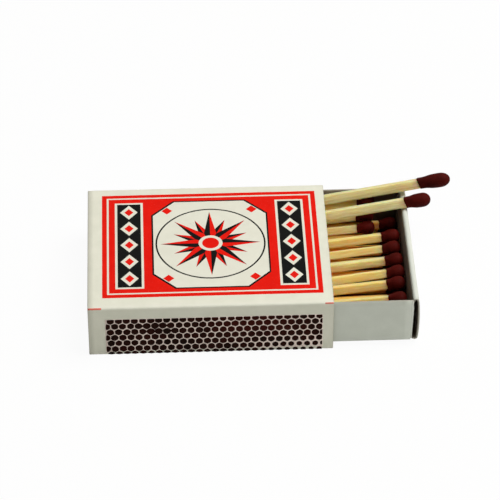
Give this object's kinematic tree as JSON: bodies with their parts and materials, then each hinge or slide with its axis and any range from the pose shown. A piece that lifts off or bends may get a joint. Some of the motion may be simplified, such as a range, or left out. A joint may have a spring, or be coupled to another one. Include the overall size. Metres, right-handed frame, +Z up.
{
  "type": "matchbox",
  "caption": "Card matchbox: a tray of wooden safety matches slides in an open-ended sleeve with a striking strip on each long side.",
  "frame": {"origin": "middle of the sleeve's underside", "axes": "+X the way the tray opens, +Z up out of the sleeve's printed face, -Y towards the front striking strip"},
  "size_m": [0.0768, 0.0392, 0.0163],
  "materials": {
    "printed_card": "coated white card, printed",
    "grey_card": "uncoated grey-white card",
    "striking_strip": "matt, gritty printed coat",
    "splint_wood": "raw split aspen",
    "match_head": "dipped, fine-grained, dull sheen"
  },
  "bodies": {
    "sleeve": {"sleeve": "printed_card", "front_striker": "striking_strip", "back_striker": "striking_strip"},
    "tray": {"tray": "grey_card", "match_01_stick": "splint_wood", "match_01_head": "match_head", "match_02_stick": "splint_wood", "match_02_head": "match_head", "match_03_stick": "splint_wood", "match_03_head": "match_head", "match_04_stick": "splint_wood", "match_04_head": "match_head", "match_05_stick": "splint_wood", "match_05_head": "match_head", "match_06_stick": "splint_wood", "match_06_head": "match_head", "match_07_stick": "splint_wood", "match_07_head": "match_head", "match_08_stick": "splint_wood", "match_08_head": "match_head", "match_09_stick": "splint_wood", "match_09_head": "match_head", "match_10_stick": "splint_wood", "match_10_head": "match_head", "match_11_stick": "splint_wood", "match_11_head": "match_head", "match_12_stick": "splint_wood", "match_12_head": "match_head", "match_13_stick": "splint_wood", "match_13_head": "match_head", "match_14_stick": "splint_wood", "match_14_head": "match_head", "match_15_stick": "splint_wood", "match_15_head": "match_head", "match_16_stick": "splint_wood", "match_16_head": "match_head", "match_17_stick": "splint_wood", "match_17_head": "match_head", "match_18_stick": "splint_wood", "match_18_head": "match_head", "match_19_stick": "splint_wood", "match_19_head": "match_head", "match_20_stick": "splint_wood", "match_20_head": "match_head", "match_21_stick": "splint_wood", "match_21_head": "match_head", "match_22_stick": "splint_wood", "match_22_head": "match_head", "match_23_stick": "splint_wood", "match_23_head": "match_head", "match_24_stick": "splint_wood", "match_24_head": "match_head", "match_25_stick": "splint_wood", "match_25_head": "match_head", "match_26_stick": "splint_wood", "match_26_head": "match_head", "match_27_stick": "splint_wood", "match_27_head": "match_head", "match_28_stick": "splint_wood", "match_28_head": "match_head"}
  },
  "joints": [
    {"name": "tray_slide", "type": "slide", "parent": "sleeve", "child": "tray", "axis": [1, 0, 0], "range_m": [-0.0022, 0.026]}
  ]
}
